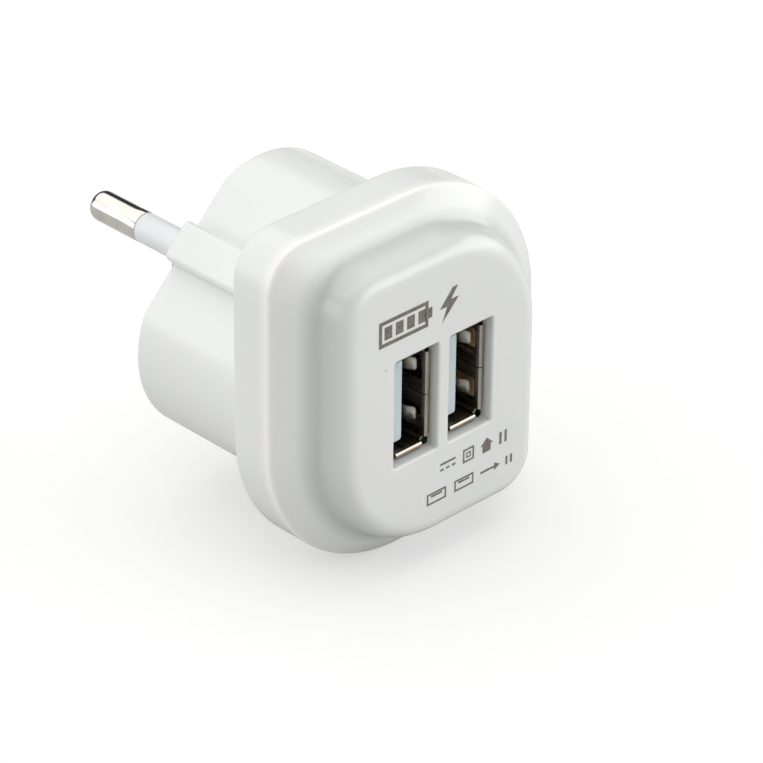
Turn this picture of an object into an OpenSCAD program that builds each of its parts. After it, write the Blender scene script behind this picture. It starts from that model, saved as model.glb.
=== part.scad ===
// USB wall charger with two charging ports, a leaf-shaped face and a two-pin mains plug.
// Row frame in millimetres: +Z up, the face looks along -Y, the pins point along +Y.
// The origin is midway between the two pins, on the plug's rear (engagement) face.

/* [Build] */
// Which piece to draw, or all of them

/* [Face and flange] */
// Width of the flange across X
flange_width = 44.5; // [40:0.1:60]
// Height of the flange along Z
flange_height = 47.9; // [40:0.1:60]
// Depth of the flange's side wall along Y
flange_depth = 5.5; // [4:0.1:9]
// Radius of the two tight corners, upper left and lower right
tight_corner = 5.8; // [3:0.1:12]
// Radius of the two broad corners, upper right and lower left
broad_corner = 21.6; // [12:0.1:22]
// Width of the raised panel across X, at its side wall
panel_width = 33.2; // [28:0.1:40]
// Height of the raised panel along Z, at its side wall
panel_height = 39.7; // [28:0.1:42]
// How far the raised panel stands in front of the flange's edge
panel_rise = 7.4; // [3:0.1:9]
// Radius of the raised panel's tight corners
panel_tight = 5.4; // [3:0.1:12]
// Radius of the raised panel's broad corners
panel_broad = 16.2; // [10:0.1:16.5]
// Wall thickness of the front cover
cover_wall = 2.0; // [1.2:0.1:3]
// Thickness of the panel around the ports
panel_wall = 1.8; // [1.2:0.1:3]

/* [Ports] */
// Width of each port opening across X
port_width = 7.3; // [6.6:0.1:8]
// Height of each port opening along Z
port_height = 14.6; // [13.6:0.1:15.2]
// Distance between the centres of the two ports
port_pitch = 9.15; // [8.6:0.05:12]
// Height of the ports' centres from the middle of the face
port_z = -0.14; // [-3:0.01:3]
// Outside width of a socket shell across X
shell_width = 5.72; // [5.6:0.01:6]
// Outside height of a socket shell along Z
shell_height = 13.1; // [13:0.01:13.4]
// Depth of a socket shell along Y
shell_depth = 14.25; // [10:0.05:15]
// How far a socket's front edge lies behind the face of the panel
shell_recess = 1.3; // [0.8:0.1:1.8]
// How far a socket's front lips stand out from its shell
shell_lip = 0.35; // [0.1:0.05:0.6]
// Sheet thickness of a socket shell
shell_sheet = 0.3; // [0.2:0.05:0.5]
// Thickness of a socket's tongue
tongue_thick = 1.84; // [1.6:0.01:2]
// Height of a socket's tongue along Z
tongue_height = 11.1; // [10.8:0.05:11.3]
// Gap between the tongue and the shell on its near side
tongue_gap = 0.62; // [0.4:0.01:0.9]
// Width of one contact strip
contact_width = 1.0; // [0.7:0.05:1.2]
// Distance between the two retention springs of one port
spring_spacing = 6.9; // [5:0.1:8]
// Width of one retention spring
spring_width = 1.9; // [1.2:0.1:2.4]

/* [Plug] */
// Depth of the plug body behind the flange
plug_depth = 22.9; // [17.5:0.1:30]
// Half the distance across the plug body's flats
flat_half = 13.0; // [11:0.1:15]
// Half the plug body's length across its round ends
end_half = 18.8; // [16:0.1:19.4]
// Radius of the plug body's round ends
end_radius = 13.74; // [11:0.01:16]
// Wall thickness of the plug body
plug_wall = 1.7; // [1.2:0.1:3]
// Thickness of the plug's rear wall
rear_wall = 2.0; // [1.5:0.1:4]
// Width of the key rib on each flat
rib_width = 5.4; // [3:0.1:8]
// Distance of each rib's outer face from the plug's axis
rib_out = 15.3; // [13.5:0.1:17]
// Radius on the ribs' outer edges
rib_round = 0.8; // [0.3:0.1:1.5]

/* [Pins] */
// Distance between the two pins' centres
pin_spacing = 19; // [17.5:0.1:19.5]
// Radius of a pin
pin_radius = 2.0; // [1.9:0.05:2.4]
// Length a pin stands out of the plug
pin_length = 19; // [18.5:0.1:19.5]
// Length of the insulating sleeve outside the plug
sleeve_length = 10; // [8:0.1:10.5]
// Radius of the pin's core inside its sleeve
core_radius = 1.5; // [1.2:0.05:1.7]
// Length of the sleeve inside the plug
sleeve_inside = 6; // [3:0.1:8]

/* [Inside] */
// Thickness of the circuit board
board_thick = 1.2; // [0.8:0.1:1.6]
// Radius of each input capacitor
cap_radius = 3.15; // [2.5:0.05:4]
// Length of each input capacitor
cap_length = 11.2; // [7:0.1:12]
// Distance of each input capacitor from the plug's axis
cap_out = 12.2; // [11:0.1:13]
// Length of the output capacitor
out_cap_length = 7.6; // [5:0.1:9]

/* [Hidden] */
$fn = 64;
// Planes along Y, from the face to the pins' tips
y_flange_rear = -plug_depth;
y_flange_edge = y_flange_rear - flange_depth;
y_panel = y_flange_edge - panel_rise;
y_panel_back = y_panel + panel_wall;
y_shell = y_panel + shell_recess;
y_board_front = y_shell + shell_depth;
y_board_rear = y_board_front + board_thick;
plate_thick = 1.9;
plate_gap = 0.05;
y_plate = y_flange_rear - plate_thick;
// Steps of the domed front, as a share of the way from the flange's outline to the panel's
dome_share = 0.71;
foot_share = 0.9;
brow_share = 1.0;
face_share = 1.28;
dome_rise = 2.85;
brow_rise = 5.5;
end_center = end_half - end_radius;
// Port planes
tongue_x = -shell_width / 2 + shell_sheet + tongue_gap;
contact_x = tongue_x + tongue_thick;
contact_thick = 0.2;
window_height = 3.4;
window_front = 0.6;
window_length = 8.8;
spring_thick = 0.2;
spring_length = 6.4;
spring_bend = 4.6;
tip_length = 1.4;
tip_bend = 30;
spring_root = y_shell + window_front + window_length - 0.1;
eps = 0.01;

// A block between two planes along Y
module slab(x0, x1, y0, y1, z0, z1) translate([x0, y0, z0]) cube([x1 - x0, y1 - y0, z1 - z0]);

// A rod along Y
module rod(r, y0, y1, x = 0, z = 0, n = 64)
    translate([x, y1, z]) rotate([90, 0, 0]) cylinder(r = r, h = y1 - y0, $fn = n);

// Turns X to the long axis of the plug body and Z to the line through the pins
module plug_axes() rotate([0, -45, 0]) children();

// A size part of the way from the flange's to the panel's
function between(a, b, k) = a + (b - a) * k;

// Removes everything outside a corner's radius
module corner_cut(sx, sz, hw, hh, r, y0, y1)
    difference() {
        translate([sx > 0 ? hw - r : -hw - 1, y0 - 1, sz > 0 ? hh - r : -hh - 1])
            cube([r + 1, y1 - y0 + 2, r + 1]);
        rod(r, y0 - 2, y1 + 2, sx * (hw - r), sz * (hh - r), 96);
    }

// The leaf outline: two tight corners and two broad ones
module leaf(w, h, rt, rb, y0, y1)
    difference() {
        slab(-w / 2, w / 2, y0, y1, -h / 2, h / 2);
        corner_cut(-1, 1, w / 2, h / 2, rt, y0, y1);
        corner_cut(1, -1, w / 2, h / 2, rt, y0, y1);
        corner_cut(1, 1, w / 2, h / 2, rb, y0, y1);
        corner_cut(-1, -1, w / 2, h / 2, rb, y0, y1);
    }

// Four thin rods at a leaf's corners, to be hulled
module leaf_rods(w, h, rt, rb, y0, t = 0.05) {
    rod(rt, y0, y0 + t, -w / 2 + rt, h / 2 - rt, 32);
    rod(rt, y0, y0 + t, w / 2 - rt, -h / 2 + rt, 32);
    rod(rb, y0, y0 + t, w / 2 - rb, h / 2 - rb, 48);
    rod(rb, y0, y0 + t, -w / 2 + rb, -h / 2 + rb, 48);
}

// The same rods for an outline between the flange's and the panel's
module step_rods(k, y0)
    leaf_rods(between(flange_width - 0.1, panel_width, k), between(flange_height - 0.1, panel_height, k),
        between(tight_corner, panel_tight, k), between(broad_corner - 0.05, panel_broad, k), y0);

// The plug body's outline: two flats and two round ends, all moved in by inset
module plug_outline(inset, y0, y1)
    plug_axes() intersection() {
        union() {
            rod(end_radius - inset, y0, y1, end_center, 0, 96);
            rod(end_radius - inset, y0, y1, -end_center, 0, 96);
            slab(-end_center, end_center, y0, y1, -flat_half + inset, flat_half - inset);
        }
        slab(-30, 30, y0 - 1, y1 + 1, -flat_half + inset, flat_half - inset);
    }

// Front cover: flange wall, domed front, raised panel and two port openings
module front_cover() color([0.95, 0.95, 0.95]) {
    difference() {
        union() {
            leaf(flange_width, flange_height, tight_corner, broad_corner,
                y_flange_edge, y_flange_rear);
            hull() {
                step_rods(0, y_flange_edge);
                step_rods(dome_share, y_flange_edge - dome_rise);
            }
            hull() {
                step_rods(foot_share, y_flange_edge - dome_rise + 0.1);
                step_rods(brow_share, y_flange_edge - brow_rise);
            }
            hull() {
                step_rods(brow_share, y_flange_edge - brow_rise);
                step_rods(face_share, y_panel);
            }
        }
        // Inside of the flange
        leaf(flange_width - 2 * cover_wall, flange_height - 2 * cover_wall,
            tight_corner - cover_wall, broad_corner - cover_wall,
            y_flange_edge + 0.3, y_flange_rear + 1);
        // Inside of the raised panel
        leaf(panel_width - 2 * cover_wall, panel_height - 2 * cover_wall,
            panel_tight - cover_wall, panel_broad - cover_wall,
            y_panel_back, y_flange_rear);
        // Port openings
        for (s = [-1, 1])
            slab(s * port_pitch / 2 - port_width / 2, s * port_pitch / 2 + port_width / 2,
                y_panel - 1, y_panel_back + 1,
                port_z - port_height / 2, port_z + port_height / 2);
    }
    // Rib between the two sockets
    slab(-0.6, 0.6, y_panel_back - 0.2, y_panel_back + 3, port_z - 6, port_z + 6);
    // Posts that bear on the rear body's plate in the two tight corners
    for (s = [-1, 1])
        rod(1.4, y_flange_edge, y_plate, s * 17.6, -s * 18.2, 32);
}

// Rear body: plate that closes the flange, plug body, key ribs, pin bosses
module rear_body() color([0.94, 0.94, 0.94]) {
    difference() {
        union() {
            leaf(flange_width - 2 * (cover_wall + plate_gap), flange_height - 2 * (cover_wall + plate_gap),
                tight_corner - cover_wall - plate_gap, broad_corner - cover_wall - plate_gap,
                y_plate, y_flange_rear);
            plug_outline(0, y_flange_rear - eps, 0);
            plug_axes() for (s = [-1, 1]) {
                z0 = s > 0 ? 8 : -rib_out + rib_round;
                z1 = s > 0 ? rib_out - rib_round : -8;
                slab(-rib_width / 2, rib_width / 2, y_flange_rear - eps, 0, z0, z1);
                slab(-rib_width / 2 + rib_round, rib_width / 2 - rib_round, y_flange_rear - eps, 0,
                    s > 0 ? 8 : -rib_out, s > 0 ? rib_out : -8);
                for (u = [-1, 1])
                    rod(rib_round, y_flange_rear - eps, 0, u * (rib_width / 2 - rib_round),
                        s * (rib_out - rib_round), 32);
            }
        }
        // Wide pocket for the circuit board
        plug_outline(plug_wall, y_plate - 1, y_board_rear);
        // Narrower pocket behind the board's ledge
        difference() {
            plug_outline(plug_wall + 0.5, y_board_rear - 1, -rear_wall);
            plug_axes() for (s = [-1, 1])
                rod(3.6, -sleeve_inside, 0, 0, s * pin_spacing / 2, 48);
        }
        // Pin bores through the bosses and the rear wall
        plug_axes() for (s = [-1, 1])
            rod(pin_radius, -sleeve_inside - 3, 1, 0, s * pin_spacing / 2);
    }
}

// Mains pin: core through the sleeve and a rounded bare end
module pin(s) color([0.82, 0.8, 0.76]) plug_axes() translate([0, 0, s * pin_spacing / 2]) {
    rod(core_radius, -sleeve_inside - 2, sleeve_length + eps);
    rotate([-90, 0, 0]) rotate_extrude($fn = 64) union() {
        translate([0, sleeve_length]) square([pin_radius, pin_length - sleeve_length - 0.9]);
        translate([0, sleeve_length]) square([pin_radius - 0.9, pin_length - sleeve_length]);
        intersection() {
            translate([pin_radius - 0.9, pin_length - 0.9]) circle(r = 0.9, $fn = 48);
            translate([0, pin_length - 0.9]) square([pin_radius, 0.9]);
        }
    }
}
module pin_a() pin(1);
module pin_b() pin(-1);

// Insulating sleeve around the first part of a pin
module pin_sleeve(s) color([0.93, 0.94, 0.95]) plug_axes() translate([0, 0, s * pin_spacing / 2])
    difference() {
        rod(pin_radius, -sleeve_inside, sleeve_length);
        rod(core_radius, -sleeve_inside - 1, sleeve_length + 1);
    }
module pin_sleeve_a() pin_sleeve(1);
module pin_sleeve_b() pin_sleeve(-1);

// Steel shell of one socket, with windows for its two retention springs
module usb_shell(s) color([0.75, 0.76, 0.77]) translate([s * port_pitch / 2, 0, port_z]) {
    difference() {
        slab(-shell_width / 2, shell_width / 2, y_shell, y_board_front,
            -shell_height / 2, shell_height / 2);
        slab(-shell_width / 2 + shell_sheet, shell_width / 2 - shell_sheet,
            y_shell - 1, y_board_front + 1,
            -shell_height / 2 + shell_sheet, shell_height / 2 - shell_sheet);
        for (u = [-1, 1])
            slab(0, shell_width, y_shell + window_front, y_shell + window_front + window_length,
                u * spring_spacing / 2 - window_height / 2,
                u * spring_spacing / 2 + window_height / 2);
    }
    // Lips around the mouth, open at the corners
    for (u = [-1, 1]) {
        slab(u > 0 ? shell_width / 2 - shell_sheet : -shell_width / 2 - shell_lip,
            u > 0 ? shell_width / 2 + shell_lip : -shell_width / 2 + shell_sheet,
            y_shell - 0.05, y_shell + 0.2, -shell_height / 2 + 0.6, shell_height / 2 - 0.6);
        slab(-shell_width / 2 + 0.6, shell_width / 2 - 0.6, y_shell - 0.05, y_shell + 0.2,
            u > 0 ? shell_height / 2 - shell_sheet : -shell_height / 2 - shell_lip,
            u > 0 ? shell_height / 2 + shell_lip : -shell_height / 2 + shell_sheet);
    }
    // Two tabs that go through the board
    for (u = [-1, 1])
        slab(-1, 1, y_board_front - eps, y_board_rear - 0.05,
            u > 0 ? shell_height / 2 - shell_sheet : -shell_height / 2,
            u > 0 ? shell_height / 2 : -shell_height / 2 + shell_sheet);
}
module usb_shell_left() usb_shell(-1);
module usb_shell_right() usb_shell(1);

// Height of contact k, counted from the top
function contact_z(k) = [3.5, 1, -1, -3.5][k - 1];

// Plastic block and tongue of one socket
module usb_insulator(s) color([0.9, 0.93, 0.97]) translate([s * port_pitch / 2, 0, port_z])
    difference() {
        union() {
            slab(tongue_x, tongue_x + tongue_thick, y_shell + 1, y_board_front - 1,
                -tongue_height / 2, tongue_height / 2);
            slab(-shell_width / 2 + shell_sheet, shell_width / 2 - shell_sheet,
                y_board_front - 3.2, y_board_front,
                -shell_height / 2 + shell_sheet, shell_height / 2 - shell_sheet);
        }
        for (k = [1:4])
            slab(contact_x, contact_x + contact_thick, y_board_front - 4, y_board_front + 1,
                contact_z(k) - contact_width / 2, contact_z(k) + contact_width / 2);
    }
module usb_insulator_left() usb_insulator(-1);
module usb_insulator_right() usb_insulator(1);

// One contact strip, lying on the tongue, with its tail through the board
module contact(s, k) color([0.85, 0.7, 0.35])
    translate([s * port_pitch / 2, 0, port_z + contact_z(k)]) {
        slab(contact_x, contact_x + contact_thick, y_shell + 1.9, y_board_front,
            -contact_width / 2, contact_width / 2);
        slab(contact_x, contact_x + contact_thick, y_board_front - eps, y_board_rear - 0.05,
            -0.3, 0.3);
    }
module contact_left_1() contact(-1, 1);
module contact_left_2() contact(-1, 2);
module contact_left_3() contact(-1, 3);
module contact_left_4() contact(-1, 4);
module contact_right_1() contact(1, 1);
module contact_right_2() contact(1, 2);
module contact_right_3() contact(1, 3);
module contact_right_4() contact(1, 4);

// Retention spring: a leaf rooted at the window's rear edge, bent into the socket
module retention_spring(s, u) color([0.78, 0.78, 0.78])
    translate([s * port_pitch / 2 + shell_width / 2 - 0.15, spring_root,
        port_z + u * spring_spacing / 2]) {
        translate([0, 0, -spring_width / 2])
            cylinder(r = spring_thick / 2, h = spring_width, $fn = 24);
        rotate([0, 0, -spring_bend]) translate([-spring_thick / 2, -spring_length, -spring_width / 2])
            cube([spring_thick, spring_length, spring_width]);
        translate([-spring_length * sin(spring_bend), -spring_length * cos(spring_bend), 0])
            rotate([0, 0, tip_bend]) translate([-spring_thick / 2, -tip_length, -spring_width / 2 + 0.1])
                cube([spring_thick, tip_length + 0.05, spring_width - 0.2]);
    }
module spring_left_upper() retention_spring(-1, 1);
module spring_left_lower() retention_spring(-1, -1);
module spring_right_upper() retention_spring(1, 1);
module spring_right_lower() retention_spring(1, -1);

// Circuit board with its holes
module circuit_board() color([0.2, 0.45, 0.25]) difference() {
    plug_outline(plug_wall + 0.1, y_board_front, y_board_rear);
    plug_axes() for (s = [-1, 1])
        rod(0.7, y_board_front - 1, y_board_rear + 1, 0, s * pin_spacing / 2, 24);
    plug_axes() for (s = [-1, 1]) for (u = [-1, 1])
        rod(0.4, y_board_front - 1, y_board_rear + 1, s * cap_out + u * 1.25, 0, 16);
    for (s = [-1, 1]) translate([s * port_pitch / 2, 0, port_z]) {
        for (k = [1:4])
            slab(contact_x - 0.1, contact_x + contact_thick + 0.1,
                y_board_front - 1, y_board_rear + 1, contact_z(k) - 0.4, contact_z(k) + 0.4);
        for (u = [-1, 1])
            slab(-1.1, 1.1, y_board_front - 1, y_board_rear + 1,
                u * (shell_height / 2 - shell_sheet / 2) - 0.3,
                u * (shell_height / 2 - shell_sheet / 2) + 0.3);
    }
}

// Transformer planes
t_front = y_board_rear + 0.05;
t_rear = y_board_rear + 11.9;
t_mid = (t_front + t_rear) / 2;
core_back = 1.6;

// Bobbin: tube, two flanges and two pin rails
module transformer_bobbin() color([0.15, 0.15, 0.16]) plug_axes() {
    difference() {
        union() {
            rod(2.5, t_front + core_back + 0.1, t_rear - core_back - 0.1, 0, 0, 48);
            rod(5.3, t_front + core_back + 0.1, t_front + core_back + 0.7, 0, 0, 48);
            rod(5.3, t_rear - core_back - 0.7, t_rear - core_back - 0.1, 0, 0, 48);
            for (s = [-1, 1])
                slab(-4.6, 4.6, t_front, t_front + core_back + 0.2,
                    s > 0 ? 2.7 : -4.9, s > 0 ? 4.9 : -2.7);
        }
        rod(1.95, t_front - 1, t_rear + 1, 0, 0, 48);
    }
}

// Copper winding on the bobbin
module transformer_winding() color([0.7, 0.4, 0.2]) plug_axes() difference() {
    rod(4.8, t_front + core_back + 0.75, t_rear - core_back - 0.75, 0, 0, 48);
    rod(2.52, t_front, t_rear, 0, 0, 48);
}

// Insulating tape around the winding
module transformer_tape() color([0.9, 0.8, 0.2]) plug_axes() difference() {
    rod(5.1, t_front + core_back + 0.8, t_rear - core_back - 0.8, 0, 0, 48);
    rod(4.82, t_front, t_rear, 0, 0, 48);
}

// One E-shaped half of the ferrite core
module core_half(y_back, y_inner) plug_axes() {
    y0 = min(y_back, y_inner);
    y1 = max(y_back, y_inner);
    slab(-7, 7, y0, y1, -2.4, 2.4);
    a = y_inner < t_mid ? y_inner - eps : t_mid;
    b = y_inner < t_mid ? t_mid : y_inner + eps;
    rod(1.9, a, b, 0, 0, 48);
    for (s = [-1, 1]) slab(s > 0 ? 5.6 : -7, s > 0 ? 7 : -5.6, a, b, -2.4, 2.4);
}
module transformer_core_front() color([0.25, 0.25, 0.27]) core_half(t_front, t_front + core_back);
module transformer_core_rear() color([0.25, 0.25, 0.27]) core_half(t_rear, t_rear - core_back);

// Electrolytic capacitor with two leads through the board
module input_capacitor(s) color([0.15, 0.2, 0.35]) plug_axes() translate([s * cap_out, 0, 0]) {
    difference() {
        rod(cap_radius, y_board_rear + 0.2, y_board_rear + 0.2 + cap_length);
        rod(cap_radius - 0.5, y_board_rear + cap_length, y_board_rear + cap_length + 1);
    }
    for (u = [-1, 1]) rod(0.3, y_board_front + 0.05, y_board_rear + 0.3, u * 1.25, 0, 16);
}
module input_capacitor_a() input_capacitor(1);
module input_capacitor_b() input_capacitor(-1);

// Drum inductor in the mains filter
module input_inductor() color([0.2, 0.2, 0.22]) plug_axes() translate([8.6, 0, 6.4]) {
    rod(1.75, y_board_rear + 0.02, y_board_rear + 0.8, 0, 0, 32);
    rod(1.2, y_board_rear + 0.7, y_board_rear + 4.3, 0, 0, 32);
    rod(1.75, y_board_rear + 4.2, y_board_rear + 5, 0, 0, 32);
}

// Fusible resistor standing on the board
module fusible_resistor() color([0.55, 0.75, 0.55]) plug_axes() translate([-5.4, 0, 8.1]) {
    rod(1.25, y_board_rear + 0.6, y_board_rear + 6.6, 0, 0, 32);
    rod(0.3, y_board_rear + 0.02, y_board_rear + 0.7, 0, 0, 16);
}

// Bridge rectifier package with four short legs
module bridge_rectifier() color([0.12, 0.12, 0.12]) plug_axes() {
    slab(-11.6, -7.2, y_board_rear + 0.15, y_board_rear + 2.6, 4.8, 8.4);
    for (x = [-10.7, -8.7]) slab(x, x + 0.6, y_board_rear + 0.02, y_board_rear + 0.4, 4.2, 9.0);
}

// Switching controller package with eight legs
module switching_ic() color([0.1, 0.1, 0.1]) plug_axes() {
    slab(-11.0, -6.1, y_board_rear + 0.15, y_board_rear + 1.6, -8.6, -4.9);
    for (x = [-10.6:1.27:-6.5])
        slab(x, x + 0.4, y_board_rear + 0.02, y_board_rear + 0.4, -9.3, -4.2);
}

// Optocoupler between the mains side and the output side
module optocoupler() color([0.92, 0.92, 0.9]) plug_axes() {
    slab(5.9, 10.2, y_board_rear + 0.4, y_board_rear + 3.8, -9.2, -3.7);
    for (x = [6.6, 9.0]) slab(x, x + 0.5, y_board_rear + 0.02, y_board_rear + 0.8, -9.8, -3.2);
}

// Safety disc capacitor
module safety_capacitor() color([0.2, 0.4, 0.75]) plug_axes() {
    translate([-4.7, y_board_rear + 3.7, -7.9]) rotate([0, 90, 0])
        cylinder(r = 2.9, h = 2.3, $fn = 48);
    for (u = [-1, 1])
        rod(0.25, y_board_rear + 0.02, y_board_rear + 2.2, -3.5, -7.9 + u * 1.6, 16);
}

// Chip parts on the board's rear side
module chip_capacitor() color([0.7, 0.6, 0.45]) plug_axes()
    slab(3.0, 5.0, y_board_rear + 0.02, y_board_rear + 1.1, 7.4, 8.6);
module chip_resistor() color([0.1, 0.1, 0.1]) plug_axes()
    slab(2.4, 4.4, y_board_rear + 0.02, y_board_rear + 0.6, -8.6, -7.4);

// Output capacitor on the board's front side
module output_capacitor() color([0.1, 0.35, 0.3]) plug_axes() translate([13.3, 0, 0]) difference() {
    rod(3.1, y_board_front - 0.1 - out_cap_length, y_board_front - 0.02);
    rod(2.6, y_board_front - 0.6 - out_cap_length, y_board_front + 0.2 - out_cap_length);
}

// Output diode on the board's front side
module output_diode() color([0.12, 0.12, 0.12]) plug_axes() {
    slab(-15.0, -11.4, y_board_front - 2.3, y_board_front - 0.2, -2.2, 2.2);
    slab(-14.2, -12.2, y_board_front - 0.5, y_board_front - 0.02, -2.7, 2.7);
}

// Lead from a pin's inner end through the board
module mains_lead(s) color([0.75, 0.6, 0.4]) plug_axes() translate([0, 0, s * pin_spacing / 2])
    rod(0.6, y_board_front + 0.05, -sleeve_inside - 2, 0, 0, 24);
module mains_lead_a() mains_lead(1);
module mains_lead_b() mains_lead(-1);

front_cover();
rear_body();
pin_a();
pin_b();
pin_sleeve_a();
pin_sleeve_b();
usb_shell_left();
usb_shell_right();
usb_insulator_left();
usb_insulator_right();
contact_left_1();
contact_left_2();
contact_left_3();
contact_left_4();
contact_right_1();
contact_right_2();
contact_right_3();
contact_right_4();
spring_left_upper();
spring_left_lower();
spring_right_upper();
spring_right_lower();
circuit_board();
transformer_bobbin();
transformer_winding();
transformer_tape();
transformer_core_front();
transformer_core_rear();
input_capacitor_a();
input_capacitor_b();
input_inductor();
fusible_resistor();
bridge_rectifier();
switching_ic();
optocoupler();
safety_capacitor();
chip_capacitor();
chip_resistor();
output_capacitor();
output_diode();
mains_lead_a();
mains_lead_b();
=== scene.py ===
"""Looks of a twin-port USB wall charger, laid out as an add-on and run as a script.

Outlines and profiles are worked out in millimetres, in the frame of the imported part,
and become metres when a mesh is made.
"""

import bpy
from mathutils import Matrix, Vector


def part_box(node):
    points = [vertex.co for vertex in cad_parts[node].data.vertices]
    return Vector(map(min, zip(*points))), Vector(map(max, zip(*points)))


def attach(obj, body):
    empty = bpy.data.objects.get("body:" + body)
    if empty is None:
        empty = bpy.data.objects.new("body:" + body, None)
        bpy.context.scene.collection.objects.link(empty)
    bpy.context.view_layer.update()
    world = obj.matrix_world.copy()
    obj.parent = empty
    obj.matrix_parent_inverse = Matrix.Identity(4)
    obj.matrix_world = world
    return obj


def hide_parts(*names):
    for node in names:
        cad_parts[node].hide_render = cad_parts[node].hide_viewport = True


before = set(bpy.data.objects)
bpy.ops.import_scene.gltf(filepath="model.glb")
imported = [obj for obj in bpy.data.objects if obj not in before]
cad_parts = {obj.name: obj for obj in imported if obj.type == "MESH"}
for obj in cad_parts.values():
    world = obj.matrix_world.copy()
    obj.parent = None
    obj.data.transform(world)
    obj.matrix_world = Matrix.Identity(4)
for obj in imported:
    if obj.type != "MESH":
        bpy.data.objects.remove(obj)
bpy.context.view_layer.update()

import math

import bmesh
import bpy
from bpy.props import FloatProperty, FloatVectorProperty, PointerProperty
from mathutils import Matrix, Vector

bl_info = {
    "name": "USB wall charger looks",
    "version": (1, 0, 0),
    "blender": (4, 5, 0),
    "location": "View3D > Sidebar > Charger",
    "description": "Builds the visible pieces of a twin-port wall charger around its packed frame",
    "category": "Object",
}

BODY = "charger"
SIDES = ("left", "right")
LEVELS = ("upper", "lower")
MILLI = 0.001
ROOT_HALF = math.sqrt(0.5)

# Fixed measures in millimetres
PIN_OFFSET = 9.5
PIN_CORE = 1.5
SPRING_OFFSET = 3.45
PANEL_THICKNESS = 1.8
FACE_GAP = 0.02
REAR_WALL = 2.0
CAVITY_INSET = 2.2
BOSS_DEPTH, BOSS_RADIUS = 6.0, 3.6
SHELL_HALF_WIDTH, SHELL_HALF_HEIGHT = 2.86, 6.55
SHELL_CORNER = 0.55
CARRIER_HALF_LENGTH, CARRIER_HALF_WIDTH = 4.4, 1.72
CARRIER_MIDDLE = 4.95


# Sizes that come from the frame, in millimetres


def node_box(node):
    """Lowest and highest corner of a CAD node, in millimetres."""
    low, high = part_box(node)
    return low / MILLI, high / MILLI


COVER_LOW, COVER_HIGH = node_box("front_cover")
FLANGE_REAR = COVER_HIGH.y
PLATE_FRONT = node_box("rear_body")[0].y
BOARD_FRONT = node_box("circuit_board")[0].y


def socket_centre(side):
    """Centre of a socket across X and Z."""
    low, high = node_box("usb_shell_" + side)
    return (low.x + high.x) / 2, (low.z + high.z) / 2


# User settings


def length(name, description, millimetres):
    return FloatProperty(
        name=name, description=description, default=millimetres * MILLI, unit="LENGTH", precision=5
    )


def colour(name, description, rgb):
    return FloatVectorProperty(
        name=name, description=description, default=rgb, size=3, min=0, max=1, subtype="COLOR"
    )


class ChargerSizes(bpy.types.PropertyGroup):
    """Sizes of the visible shapes."""

    flange_depth: length("Flange depth", "Depth of the flange's side wall", 5.5)
    flange_tight: length("Flange tight corner", "Radius of the flange's two tight corners", 5.8)
    flange_broad: length("Flange broad corner", "Radius of the flange's two broad corners", 21.6)
    panel_width: length("Panel width", "Width of the raised panel", 33.2)
    panel_height: length("Panel height", "Height of the raised panel", 39.7)
    panel_tight: length("Panel tight corner", "Radius of the panel's two tight corners", 5.4)
    panel_broad: length("Panel broad corner", "Radius of the panel's two broad corners", 16.2)
    port_width: length("Port width", "Width of a port opening", 7.3)
    port_height: length("Port height", "Height of a port opening", 14.6)
    port_fillet: length("Port fillet", "Rounding around a port's mouth", 0.32)
    cover_wall: length("Cover wall", "Wall thickness of the front cover", 2.0)
    flat_half: length("Flat half width", "Distance of the plug body's flats from its axis", 13.0)
    end_radius: length("End radius", "Radius of the plug body's round ends", 13.74)
    end_centre: length("End centre", "Distance of the round ends' centres from the axis", 5.06)
    rib_half: length("Rib half width", "Half the width of a key rib", 2.7)
    rib_out: length("Rib reach", "Distance of a rib's outer face from the axis", 15.3)
    rib_round: length("Rib rounding", "Rounding of a rib's outer edges", 0.8)
    pin_radius: length("Pin radius", "Radius of a mains pin", 2.0)
    sleeve_length: length("Sleeve length", "Length of a pin's sleeve outside the plug", 10.0)
    sheet: length("Shell sheet", "Sheet thickness of a socket shell", 0.3)


class ChargerColours(bpy.types.PropertyGroup):
    """Colours of the visible surfaces."""

    plastic: colour("Plastic", "Moulded white housing", (0.80, 0.815, 0.80))
    plastic_shade: colour("Plastic shade", "Slightly darker tone in the housing", (0.785, 0.80, 0.785))
    sleeve: colour("Sleeve", "Insulating sleeve of the pins", (0.77, 0.79, 0.80))
    tongue: colour("Tongue", "Tongue of a socket", (0.66, 0.76, 0.80))
    nickel: colour("Nickel", "Plating of the mains pins", (0.78, 0.75, 0.70))
    tin: colour("Tin", "Plating of the socket shells", (0.52, 0.46, 0.39))
    ink: colour("Ink", "Printed marks", (0.13, 0.115, 0.10))
    floor: colour("Floor", "Studio floor", (0.54, 0.54, 0.54))


# Outlines, as lists of (x, z) points


def arc(cx, cz, radius, start, end, steps):
    """Points on an arc, angles in degrees, both ends included."""
    angles = [math.radians(start + (end - start) * i / steps) for i in range(steps + 1)]
    return [(cx + radius * math.cos(a), cz + radius * math.sin(a)) for a in angles]


def between(a, b, steps):
    """Points that divide the line from a to b, without its ends."""
    return [
        (a[0] + (b[0] - a[0]) * i / steps, a[1] + (b[1] - a[1]) * i / steps)
        for i in range(1, steps)
    ]


def four_corners(half_w, half_h, radii, arc_steps, side_steps, centre=(0, 0)):
    """A rounded rectangle, counted from the right side upwards."""
    points = []
    signs = ((1, 1), (-1, 1), (-1, -1), (1, -1))
    for k, (sx, sz) in enumerate(signs):
        r = radii[k]
        cx, cz = centre[0] + sx * (half_w - r), centre[1] + sz * (half_h - r)
        corner = arc(cx, cz, r, 90 * k, 90 * k + 90, arc_steps[k])
        if points:
            points += between(points[-1], corner[0], side_steps)
        points += corner
    return points + between(points[-1], points[0], side_steps)


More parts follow.
